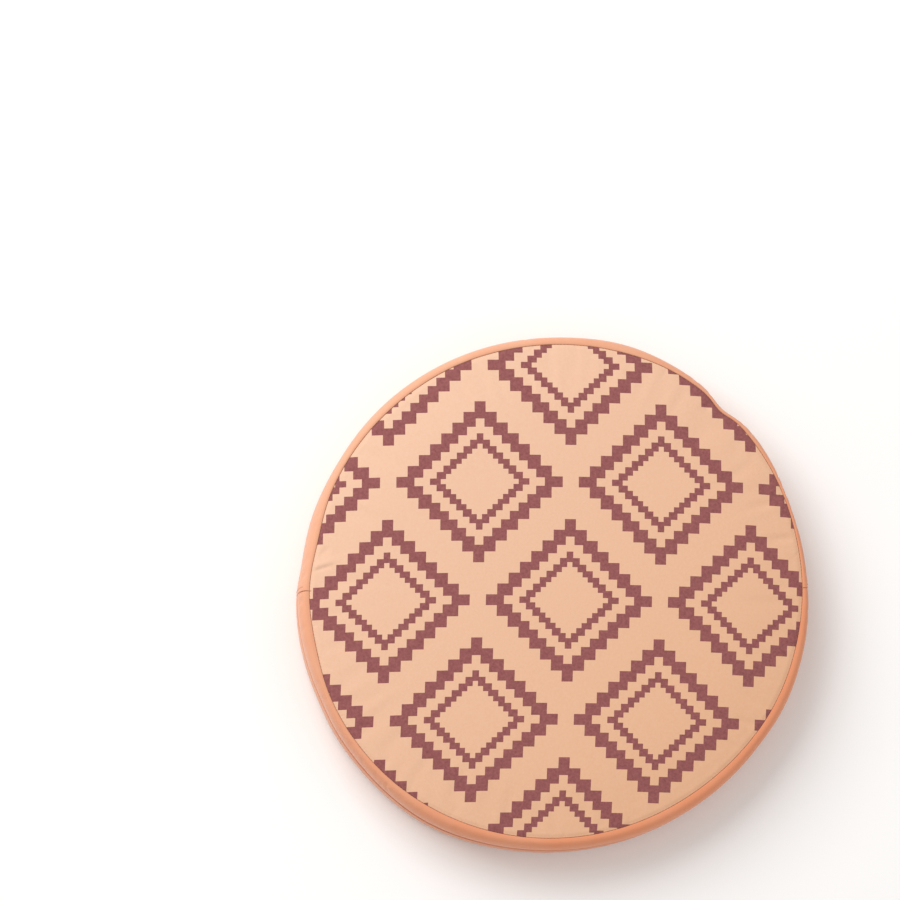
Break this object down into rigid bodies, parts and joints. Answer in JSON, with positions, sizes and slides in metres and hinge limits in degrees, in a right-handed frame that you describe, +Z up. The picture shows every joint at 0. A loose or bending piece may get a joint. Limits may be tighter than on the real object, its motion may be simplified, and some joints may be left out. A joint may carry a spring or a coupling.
{
  "type": "floor cushion",
  "caption": "Round box cushion for floor or chair, with printed cloth faces, a plain sewn band, a concealed zip and a foam disc inside.",
  "frame": {"origin": "centre of the flat underside, where the cushion rests", "axes": "+Z up out of the printed upper face, +X along the rows of the print, +Y up its columns; the zip half of the band is on the -Y side"},
  "size_m": [0.4016, 0.4, 0.05],
  "materials": {
    "printed_cloth": "matt plain-weave cloth, printed with stepped diamonds; its fibre is not known",
    "band_cloth": "matt plain-weave cloth, dyed; its fibre is not known",
    "thread": "spun sewing thread",
    "zip_tape": "woven zip tape",
    "zip_coil": "nylon coil, dyed to match",
    "zip_metal": "enamelled zinc, to match",
    "foam": "open-cell polyurethane foam"
  },
  "bodies": {
    "cushion": {"top_panel": "printed_cloth", "bottom_panel": "printed_cloth", "band_plain": "band_cloth", "band_zip_upper": "band_cloth", "band_zip_lower": "band_cloth", "seam_thread_top": "thread", "seam_thread_bottom": "thread", "join_thread_left": "thread", "join_thread_right": "thread", "zip_thread_upper": "thread", "zip_thread_lower": "thread", "zip_tape_upper": "zip_tape", "zip_tape_lower": "zip_tape", "zip_coil_upper": "zip_coil", "zip_coil_lower": "zip_coil", "zip_stop_closed": "zip_metal", "zip_stop_open": "zip_metal", "foam_core": "foam"},
    "slider": {"zip_slider": "zip_metal"},
    "pull": {"zip_pull": "zip_metal"}
  },
  "joints": [
    {"name": "slider_travel", "type": "hinge", "parent": "cushion", "child": "slider", "pos_m": [0, 0, 0.025], "axis": [0, 0, 1], "range_deg": [-155, 0]},
    {"name": "pull_swing", "type": "hinge", "parent": "slider", "child": "pull", "pos_m": [0.19517, -0.04327, 0.025], "axis": [0, 0, 1], "range_deg": [0, 170]}
  ]
}
